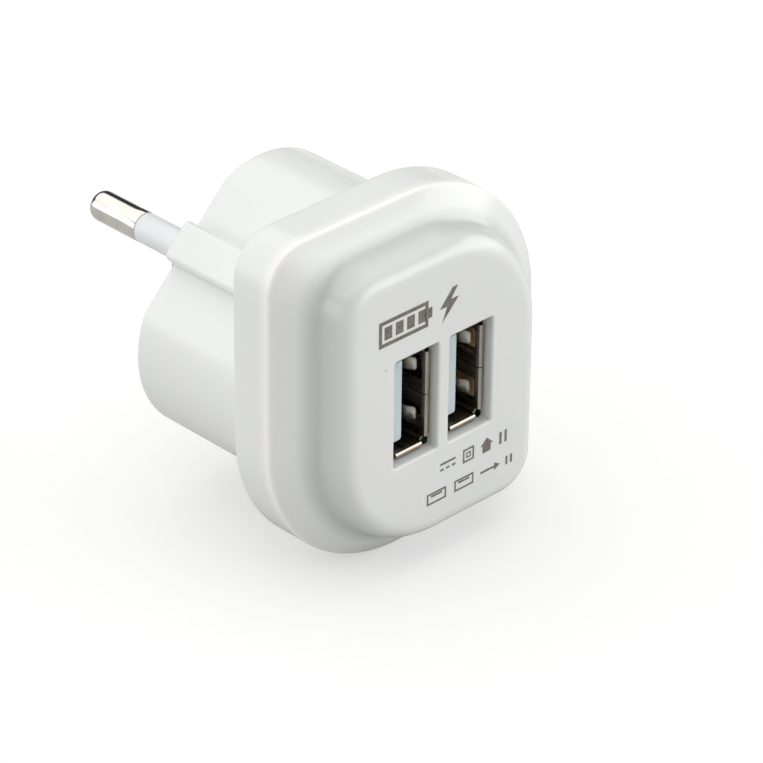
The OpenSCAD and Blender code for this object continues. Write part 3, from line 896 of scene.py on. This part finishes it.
def build_spring(side, level, steel):
    low, high = node_box("spring_%s_%s" % (side, level))
    z = (low.z + high.z) / 2
    root_x, root_y = socket_centre(side)[0] + 2.71, high.y - 0.1
    bend = (root_x - 0.513, root_y - 6.38)
    tip = (bend[0] + 0.7, bend[1] - 1.2)
    leaf_part = ((0, 0.05), (-0.01, -0.4), (-0.09, -1.6), (-0.27, -3.6), (-0.42, -5.2))
    nose_part = ((0.03, 0.45), (0.03, 0.05), (0.2, -0.34))
    path = [(root_x + x, root_y + y) for x, y in leaf_part]
    path += [(bend[0] + x, bend[1] + y) for x, y in nose_part]
    path += [(tip[0] - 0.12, tip[1] + 0.2), tip]
    half_width, corner = 0.9, 0.42
    stations = []
    for x, y in smooth_curve(path, 4):
        left = math.hypot(x - tip[0], y - tip[1])
        half = half_width
        if left < corner:
            half += math.sqrt(max(corner**2 - (corner - left) ** 2, 0.01)) - corner
        stations.append((x, y, z, half))
    bm = bmesh.new()
    ribbon(bm, stations, 0.2)
    return into_object("spring_%s_%s_strip" % (side, level), bm, [steel], sharp=50)


# Printed marks


def prism(bm, points, top, bottom):
    """A thin closed plate with the given outline, points in (x, z)."""
    upper = [bm.verts.new((x, top, z)) for x, z in points]
    lower = [bm.verts.new((x, bottom, z)) for x, z in points]
    bm.faces.new(upper)
    bm.faces.new(lower)
    bridge(bm, upper, lower)


def bar(x0, z0, x1, z1):
    return [(x0, z0), (x1, z0), (x1, z1), (x0, z1)]


def frame_bars(x0, z0, x1, z1, w):
    """A hollow rectangle as four bars."""
    return [
        bar(x0, z0, x1, z0 + w),
        bar(x0, z1 - w, x1, z1),
        bar(x0, z0 + w, x0 + w, z1 - w),
        bar(x1 - w, z0 + w, x1, z1 - w),
    ]


# The marks stand this much higher than they are drawn
MARKS_UP = 0.44


def mark_shapes():
    """Pictograms: charge gauge, bolt, direct current, double insulation, indoor use, sockets."""
    shapes = frame_bars(-11.0, 9.7, -2.9, 13.2, 0.5)
    shapes += [bar(-2.9, 10.75, -2.25, 12.15)]
    shapes += [bar(x, 10.6, x + 1.25, 12.3) for x in (-10.1, -8.25, -6.4, -4.55)]
    bolt = [(1.15, 13.5), (-1.0, 11.15), (0.25, 11.15), (-0.55, 9.2), (2.2, 11.95), (0.85, 11.95)]
    shapes += [bolt + [(2.0, 13.5)]]
    shapes += [bar(-0.4, -10.7, 2.2, -10.4)]
    shapes += [bar(x, -11.5, x + 0.6, -11.2) for x in (-0.4, 0.6, 1.6)]
    shapes += frame_bars(3.5, -12.0, 5.4, -10.1, 0.26)
    shapes += frame_bars(4.05, -11.45, 4.85, -10.65, 0.2)
    roof = [(6.5, -11.0), (7.6, -10.0), (8.7, -11.0)]
    shapes += [roof + [(8.3, -11.0), (8.3, -12.0), (6.9, -12.0), (6.9, -11.0)]]
    shapes += [bar(9.8, -11.9, 10.2, -10.2), bar(10.7, -11.9, 11.1, -10.2)]
    for x in (-2.6, 2.1):
        shapes += frame_bars(x, -15.5, x + 3.3, -13.9, 0.26) + [bar(x + 0.7, -14.55, x + 2.6, -14.25)]
    shapes += [bar(6.6, -14.85, 9.0, -14.55), [(9.0, -15.25), (10.0, -14.7), (9.0, -14.15)]]
    shapes += [bar(11.0, -15.3, 11.35, -14.1), bar(11.8, -15.3, 12.15, -14.1)]
    return [[(x, z + MARKS_UP) for x, z in shape] for shape in shapes]


def build_marks(ink):
    bm = bmesh.new()
    for shape in mark_shapes():
        prism(bm, shape, COVER_LOW.y + 0.002, COVER_LOW.y + 0.04)
    return into_object("printed_marks", bm, [ink], sharp=20)


# Operators


class CHARGER_OT_front_cover(bpy.types.Operator):
    """Builds the domed front cover with its two port mouths"""

    bl_idname = "charger.front_cover"
    bl_label = "Front cover"

    def execute(self, context):
        colours = context.scene.charger_colours
        plastic = moulded_plastic("white_shell", colours.plastic[:], colours.plastic_shade[:])
        cover = build_front_cover(context.scene.charger_sizes, plastic)
        stand_for(cover, BODY, ["front_cover"])
        return {"FINISHED"}


class CHARGER_OT_rear_body(bpy.types.Operator):
    """Builds the plug body with its ribs, pin bores and closing plate"""

    bl_idname = "charger.rear_body"
    bl_label = "Rear body"

    def execute(self, context):
        colours = context.scene.charger_colours
        tones = colours.plastic[:], colours.plastic_shade[:]
        plastic = moulded_plastic("white_plug", *tones, (0.17, 0.26))
        body = build_rear_body(context.scene.charger_sizes, plastic)
        stand_for(body, BODY, ["rear_body"])
        return {"FINISHED"}


class CHARGER_OT_mains_pins(bpy.types.Operator):
    """Builds the two mains pins and their sleeves"""

    bl_idname = "charger.mains_pins"
    bl_label = "Mains pins"

    def execute(self, context):
        colours = context.scene.charger_colours
        nickel = plated_metal("pin_nickel", colours.nickel[:], (0.05, 0.12), (2600, 120, 2600))
        tones = colours.sleeve[:], tinted(colours.sleeve, 0.95)
        plastic = moulded_plastic("sleeve_plastic", *tones, (0.3, 0.38), specks_and_painted_light=False)
        for piece, node, slot in build_pins(context.scene.charger_sizes, nickel, plastic):
            stand_for(piece, BODY, [node])
        return {"FINISHED"}


class CHARGER_OT_socket_shells(bpy.types.Operator):
    """Builds the folded steel shells of the two sockets"""

    bl_idname = "charger.socket_shells"
    bl_label = "Socket shells"

    def execute(self, context):
        colours = context.scene.charger_colours
        tin = plated_metal("socket_steel", colours.tin[:], (0.2, 0.38), (300, 2600, 300), 3e-6)
        # A darker copy of the steel paints the shade inside the sockets
        shade, across = (0.20, 0.17, 0.14), (2600, 200, 2600)
        shaded_tin = plated_metal("socket_steel_painted_shade", shade, (0.22, 0.4), across, 5e-6)
        tones = (0.78, 0.56, 0.32), (0.62, 0.43, 0.24)
        glow_tan = plain_part("spring_carrier_tan", *tones, 900, (0.45, 0.6), 6e-6)
        for side in SIDES:
            # Only the right socket gets the tan strips, painted warm glow of light leaking through the
            # housing beside it
            backing = glow_tan if side == "right" else None
            shell = build_shell(context.scene.charger_sizes, side, tin, shaded_tin, backing)
            stand_for(shell, BODY, ["usb_shell_" + side])
        return {"FINISHED"}


class CHARGER_OT_socket_tongues(bpy.types.Operator):
    """Builds the sockets' tongues and their gilded contact strips"""

    bl_idname = "charger.socket_tongues"
    bl_label = "Socket tongues and contacts"

    def execute(self, context):
        colours = context.scene.charger_colours
        tones = colours.tongue[:], tinted(colours.tongue, 0.93)
        plastic = moulded_plastic("tongue_plastic", *tones, (0.32, 0.45), 3e-6, False)
        gold = plated_metal("contact_gold", (0.83, 0.62, 0.28), (0.14, 0.26), (2600, 200, 2600), 2e-6)
        for side in SIDES:
            stand_for(build_tongue(side, plastic), BODY, ["usb_insulator_" + side])
            for index in range(1, 5):
                node = "contact_%s_%d" % (side, index)
                stand_for(build_contact(side, index, gold), BODY, [node])
        return {"FINISHED"}


class CHARGER_OT_retention_springs(bpy.types.Operator):
    """Builds the four leaf springs that hold a plug in its socket"""

    bl_idname = "charger.retention_springs"
    bl_label = "Retention springs"

    def execute(self, context):
        steel = plated_metal("spring_steel", (0.72, 0.69, 0.65), (0.24, 0.42), (900, 2600, 900), 5e-6)
        for side in SIDES:
            for level in LEVELS:
                node = "spring_%s_%s" % (side, level)
                stand_for(build_spring(side, level, steel), node + "_leaf", [node])
        return {"FINISHED"}


class CHARGER_OT_printed_marks(bpy.types.Operator):
    """Prints generic pictograms on the raised panel"""

    bl_idname = "charger.printed_marks"
    bl_label = "Printed marks"

    def execute(self, context):
        rgb = context.scene.charger_colours.ink[:]
        ink = plain_part("printed_ink", rgb, tinted(rgb, 1.7), 2200, (0.45, 0.6), 4e-6)
        marks = build_marks(ink)
        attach(marks, BODY)
        return {"FINISHED"}


# Two-tone finishes inside the charger: name, tones, scale, roughness, bump height, CAD nodes
INSIDE_FINISHES = (
    (
        "bobbin_black", (0.02, 0.02, 0.022), (0.04, 0.04, 0.045),
        700, (0.3, 0.45), 1e-5, ("transformer_bobbin",),
    ),
    (
        "capacitor_sleeve", (0.03, 0.05, 0.16), (0.05, 0.08, 0.22),
        400, (0.22, 0.34), 1e-5, ("input_capacitor_a", "input_capacitor_b"),
    ),
    (
        "capacitor_green", (0.03, 0.16, 0.11), (0.05, 0.22, 0.15),
        400, (0.22, 0.34), 1e-5, ("output_capacitor",),
    ),
    (
        "package_black", (0.018, 0.018, 0.02), (0.035, 0.035, 0.036),
        1800, (0.4, 0.55), 8e-6, ("bridge_rectifier", "switching_ic", "chip_resistor", "output_diode"),
    ),
    (
        "package_white", (0.72, 0.71, 0.67), (0.64, 0.63, 0.59),
        1200, (0.35, 0.5), 1e-5, ("optocoupler",),
    ),
    (
        "resistor_body", (0.25, 0.42, 0.24), (0.32, 0.50, 0.30),
        500, (0.25, 0.4), 1e-5, ("fusible_resistor",),
    ),
    (
        "disc_blue", (0.03, 0.12, 0.42), (0.05, 0.17, 0.52),
        600, (0.25, 0.4), 2e-5, ("safety_capacitor",),
    ),
    (
        "chip_ceramic", (0.42, 0.30, 0.18), (0.52, 0.38, 0.24),
        1600, (0.3, 0.45), 1e-5, ("chip_capacitor",),
    ),
)


def inside_finishes():
    """Each finish inside the charger with the CAD nodes that wear it."""
    pairs = [(plain_part(*finish), nodes) for *finish, nodes in INSIDE_FINISHES]
    across = (0, math.radians(45), 0)
    enamel = ("copper_wire", (0.62, 0.28, 0.12), (0.20, 0.07, 0.03), (1, 1, 1), across, 900)
    film = ("tape_yellow", (0.82, 0.62, 0.08), (0.70, 0.50, 0.05), (1, 1, 1), across, 60)
    grains = (900, 0.2, 0.3, (0.02, 0.02, 0.02))
    sintered = ("ferrite", (0.045, 0.045, 0.05), (0.09, 0.09, 0.10), 1500, (0.5, 0.7), 3e-5, 0.2)
    lead = plated_metal("lead_copper", (0.75, 0.50, 0.34), (0.2, 0.35), (2600, 300, 2600))
    cores = ("transformer_core_front", "transformer_core_rear", "input_inductor")
    return pairs + [
        (board_material(), ("circuit_board",)),
        (banded_part(*enamel, (0.18, 0.3), 5e-5, 0.7), ("transformer_winding",)),
        (banded_part(*film, (0.2, 0.3), 2e-5), ("transformer_tape",)),
        (plain_part(*sintered, grains), cores),
        (lead, ("mains_lead_a", "mains_lead_b")),
    ]


class CHARGER_OT_inside_parts(bpy.types.Operator):
    """Gives the parts inside the charger their finishes"""

    bl_idname = "charger.inside_parts"
    bl_label = "Parts inside"

    def execute(self, context):
        for material, nodes in inside_finishes():
            for node in nodes:
                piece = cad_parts[node]
                if not piece.material_slots:
                    piece.data.materials.append(material)
                for holder in piece.material_slots:
                    holder.material = material
        return {"FINISHED"}


# Stage

CAMERA_PLACE = (-0.305956, -0.334227, 0.254142)
CAMERA_RIGHT = (0.71467771, -0.69938584, 0.00975837)
CAMERA_UP = (0.35011811, 0.36978147, 0.86062708)
CAMERA_BACK = (-0.60551885, -0.61165441, 0.50914223)
CAMERA_LENS = 196.916


def add_camera():
    data = bpy.data.cameras.new("camera")
    data.lens = CAMERA_LENS
    data.sensor_width = 36
    data.clip_start, data.clip_end = 0.01, 20
    camera = bpy.data.objects.new("camera", data)
    bpy.context.scene.collection.objects.link(camera)
    turn = Matrix((CAMERA_RIGHT, CAMERA_UP, CAMERA_BACK)).transposed()
    camera.matrix_world = Matrix.Translation(CAMERA_PLACE) @ turn.to_4x4()
    bpy.context.scene.camera = camera


FLOOR_REACH, FLOOR_STEPS = 1500, 24
# Glow that keeps the floor pale: as the camera sees it, and as it lights the object
FLOOR_GLOW, FLOOR_BOUNCE = 0.44, 0.04


def add_floor(rgb):
    bm = bmesh.new()
    z = COVER_LOW.z - FACE_GAP
    marks = [-FLOOR_REACH + 2 * FLOOR_REACH * k / FLOOR_STEPS for k in range(FLOOR_STEPS + 1)]
    rows = [[bm.verts.new((x, y, z)) for y in marks] for x in marks]
    for a, b in zip(rows, rows[1:]):
        for k in range(FLOOR_STEPS):
            bm.faces.new((a[k], b[k], b[k + 1], a[k + 1]))
    n = Nodes("floor_paper")
    n.paint(n.tones(n.spread(n.noise(30, 4), 0, 1), rgb, tinted(rgb, 0.99)))
    n.paint(n.spread(n.noise(600, 3), 0.85, 0.95), "Roughness")
    n.bumps((n.noise(2400, 3), 6e-6))
    n.set(Specular_IOR_Level=0.15)
    glow = n.add("Emission")
    seen = n.spread(n.add("LightPath").outputs["Is Camera Ray"], FLOOR_BOUNCE, FLOOR_GLOW, 0, 1)
    n.link(seen, glow.inputs["Strength"])
    both = n.add("AddShader")
    n.link(n.shader.outputs["BSDF"], both.inputs[0])
    n.link(glow.outputs[0], both.inputs[1])
    n.link(both.outputs[0], n.output.inputs["Surface"])
    floor = into_object("floor", bm, [n.material])


# Soft patches of studio light: aim, cosines where each starts and is full, lowest and highest
# height as the sine of elevation, brightness
LIGHT_PATCHES = (
    ((-0.06, 0.2, 0.978), (0.57, 0.70), None, 1.36),
    ((0.75, -0.66, 0), (0.52, 0.85), (-0.05, 0.52), 2.9),
    ((-0.94, 0.34, 0), (0.55, 0.85), (-0.12, 0.5), 1.85),
)
LIGHT_COLOUR = (1.0, 0.995, 0.985, 1)
DIM_LIGHT = 0.05
SOFT_EDGE = 0.06


def add_surroundings():
    """Soft light from a ceiling panel and two standing cards, plain white behind."""
    world = bpy.data.worlds.new("studio")
    bpy.context.scene.world = world
    n = Tree(world)

    def step(value, start, end):
        node = n.add("MapRange", interpolation_type="SMOOTHSTEP")
        node.inputs["From Min"].default_value = start
        node.inputs["From Max"].default_value = end
        n.link(value, node.inputs["Value"])
        return node.outputs["Result"]

    place = n.add("TexCoord").outputs["Generated"]
    split = n.add("SeparateXYZ")
    n.link(place, split.inputs[0])
    total = DIM_LIGHT
    for aim, (start, full), heights, amount in LIGHT_PATCHES:
        dot = n.add("VectorMath", operation="DOT_PRODUCT")
        n.link(place, dot.inputs[0])
        dot.inputs[1].default_value = Vector(aim).normalized()
        patch = step(dot.outputs["Value"], start, full)
        if heights:
            low, high = heights
            for edge, inner in ((low - SOFT_EDGE, low), (high, high - SOFT_EDGE)):
                patch = n.maths("MULTIPLY", patch, step(split.outputs["Z"], edge, inner))
        total = n.maths("ADD", total, n.maths("MULTIPLY", patch, amount))
    soft, white, mix = n.add("Background"), n.add("Background"), n.add("MixShader")
    soft.inputs["Color"].default_value = LIGHT_COLOUR
    white.inputs["Color"].default_value = (1, 1, 1, 1)
    n.link(total, soft.inputs["Strength"])
    n.link(n.add("LightPath").outputs["Is Camera Ray"], mix.inputs["Fac"])
    n.link(soft.outputs[0], mix.inputs[1])
    n.link(white.outputs[0], mix.inputs[2])
    n.link(mix.outputs[0], n.add("OutputWorld").inputs["Surface"])


class CHARGER_OT_studio_stage(bpy.types.Operator):
    """Sets up the camera, the pale floor and the soft studio light"""

    bl_idname = "charger.studio_stage"
    bl_label = "Studio stage"

    def execute(self, context):
        add_camera()
        add_floor(context.scene.charger_colours.floor[:])
        add_surroundings()
        context.scene.view_settings.view_transform = "Standard"
        context.scene.view_settings.look = "None"
        return {"FINISHED"}


class CHARGER_PT_sidebar(bpy.types.Panel):
    """Lists the pieces of the charger and its settings"""

    bl_idname = "CHARGER_PT_sidebar"
    bl_label = "USB wall charger"
    bl_space_type = "VIEW_3D"
    bl_region_type = "UI"
    bl_category = "Charger"

    def draw(self, context):
        for operator in OPERATORS:
            self.layout.operator(operator.bl_idname)
        for group in (context.scene.charger_sizes, context.scene.charger_colours):
            box = self.layout.box()
            for key in group.__annotations__:
                box.prop(group, key)


OPERATORS = (
    CHARGER_OT_front_cover,
    CHARGER_OT_rear_body,
    CHARGER_OT_mains_pins,
    CHARGER_OT_socket_shells,
    CHARGER_OT_socket_tongues,
    CHARGER_OT_retention_springs,
    CHARGER_OT_printed_marks,
    CHARGER_OT_inside_parts,
    CHARGER_OT_studio_stage,
)
GROUPS = (ChargerSizes, ChargerColours)


def register():
    for group in GROUPS:
        bpy.utils.register_class(group)
    bpy.types.Scene.charger_sizes = PointerProperty(type=ChargerSizes)
    bpy.types.Scene.charger_colours = PointerProperty(type=ChargerColours)
    for operator in OPERATORS:
        bpy.utils.register_class(operator)
    bpy.utils.register_class(CHARGER_PT_sidebar)


def unregister():
    bpy.utils.unregister_class(CHARGER_PT_sidebar)
    for operator in reversed(OPERATORS):
        bpy.utils.unregister_class(operator)
    del bpy.types.Scene.charger_colours
    del bpy.types.Scene.charger_sizes
    for group in reversed(GROUPS):
        bpy.utils.unregister_class(group)


def main():
    register()
    for operator in OPERATORS:
        getattr(bpy.ops.charger, operator.bl_idname.split(".")[1])()


if __name__ == "__main__":
    main()
